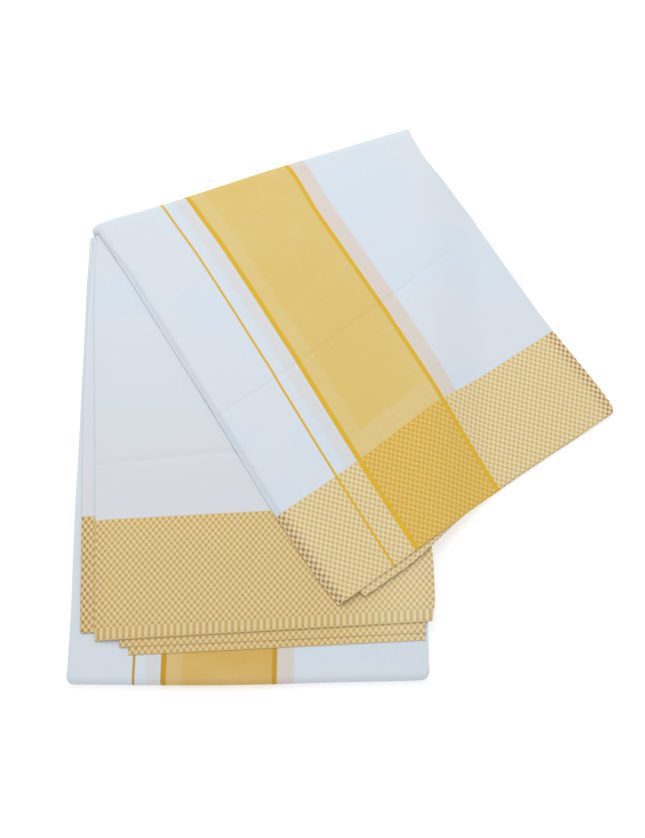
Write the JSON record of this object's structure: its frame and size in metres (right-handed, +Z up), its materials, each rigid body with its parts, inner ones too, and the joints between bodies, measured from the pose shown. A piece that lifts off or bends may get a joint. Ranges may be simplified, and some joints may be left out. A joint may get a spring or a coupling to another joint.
{
  "type": "folded dhoti cloth",
  "caption": "White cotton dhoti folded into a flat packet with a fanned flap, checked gold selvedge borders and a gold band across one end.",
  "frame": {"origin": "on the table, under the middle of the folded cloth's outline", "axes": "+Z up from the table, +Y from the bottom fold to the top fold, +X to the side that the flap hangs over"},
  "size_m": [0.355, 0.3956, 0.0153],
  "materials": {
    "plain_cotton": "matt, fine plain weave, slightly cool white",
    "bordered_cotton": "matt plain weave, white with gold checks, lines and a soft-sheen gold band"
  },
  "bodies": {
    "root": {"underside_panel": "plain_cotton", "bottom_fold_panel": "bordered_cotton", "packet_layers": "plain_cotton", "front_leaf_3": "bordered_cotton", "front_leaf_2": "bordered_cotton", "front_panel": "bordered_cotton", "top_fold": "bordered_cotton", "flap_layers": "bordered_cotton", "flap_leaf_2": "bordered_cotton", "flap_panel": "bordered_cotton"}
  },
  "joints": []
}
